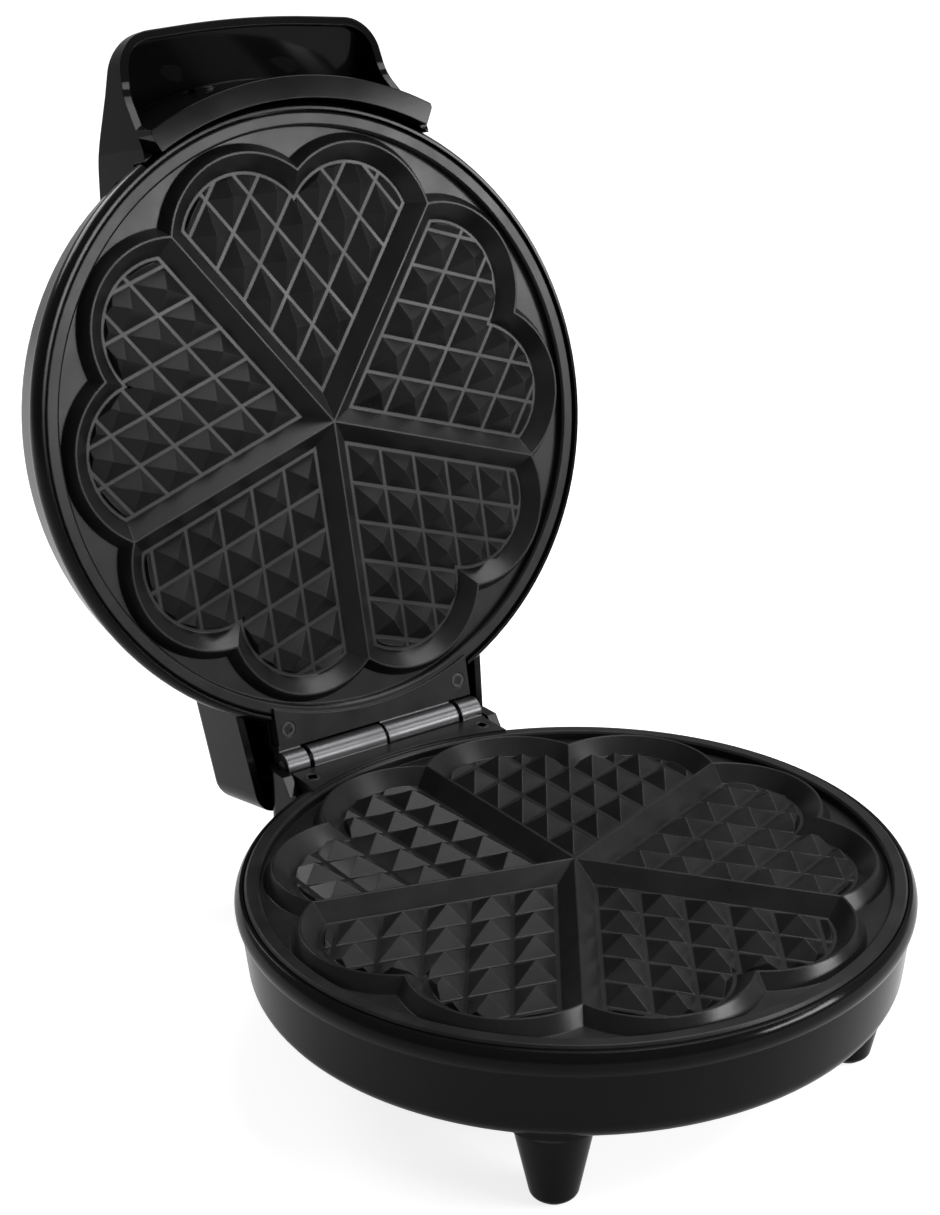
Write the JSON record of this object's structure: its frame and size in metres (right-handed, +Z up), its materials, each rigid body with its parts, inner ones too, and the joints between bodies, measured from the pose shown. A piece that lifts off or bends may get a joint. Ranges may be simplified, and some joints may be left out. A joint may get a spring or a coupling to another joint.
{
  "type": "waffle maker",
  "caption": "Round tabletop waffle maker, shown open, with heart-pattern grid plates hinged together, a hooded handle, tapered legs and heating parts inside.",
  "frame": {"origin": "on the ground, under the middle of the open maker's bounding box", "axes": "+Z up; +X along the hinge pin, to the right seen from the front; +Y from the front of the base towards the hinge at the rear; rest pose is the lid fully open"},
  "size_m": [0.2, 0.2778, 0.2841],
  "materials": {
    "housing": "gloss black moulded phenolic or polyamide",
    "handle": "satin black moulding",
    "nonstick_casting": "die-cast aluminium with dark grey non-stick coating",
    "rubber": "matt black",
    "terminal_plastic": "off-white",
    "element_sheath": "dull oxidised sheath",
    "ceramic": "unglazed white",
    "steel": "zinc plated",
    "reflector_sheet": "plain aluminised sheet",
    "thermostat_body": "dark phenolic",
    "fuse_sleeve": "woven white glass-fibre sleeve",
    "live_lead": "brown silicone",
    "neutral_lead": "blue silicone",
    "earth_lead": "green and yellow silicone",
    "neon_glass": "clear glass",
    "red_lens": "translucent red",
    "green_lens": "translucent green"
  },
  "bodies": {
    "base": {"base_housing": "housing", "foot_pads": "rubber", "cord_gland": "rubber", "terminal_block": "terminal_plastic", "base_live_lead": "live_lead", "base_neutral_lead": "neutral_lead", "base_earth_lead": "earth_lead", "hinge_pin": "steel", "lower_plate": "nonstick_casting", "lower_heating_element": "element_sheath", "lower_element_insulators": "ceramic", "lower_element_pins": "steel", "lower_element_clamps": "steel", "lower_clamp_screws": "steel", "lower_reflector": "reflector_sheet", "lower_reflector_screws": "steel", "lower_leaf_screws": "steel"},
    "lid": {"lid_housing": "housing", "handle": "handle", "handle_screws": "steel", "thermostat": "thermostat_body", "thermostat_screws": "steel", "thermal_fuse": "fuse_sleeve", "lid_live_lead": "live_lead", "lid_neutral_lead": "neutral_lead", "lid_lamp_lead": "live_lead", "lamp_holder": "terminal_plastic", "neon_lamps": "neon_glass", "power_lens": "red_lens", "ready_lens": "green_lens", "upper_plate": "nonstick_casting", "upper_heating_element": "element_sheath", "upper_element_insulators": "ceramic", "upper_element_pins": "steel", "upper_element_clamps": "steel", "upper_clamp_screws": "steel", "upper_reflector": "reflector_sheet", "upper_reflector_screws": "steel", "upper_leaf_screws": "steel"}
  },
  "joints": [
    {"name": "lid_hinge", "type": "hinge", "parent": "base", "child": "lid", "pos_m": [0, 0.06757, 0.058], "axis": [1, 0, 0], "range_deg": [0, 101]}
  ]
}
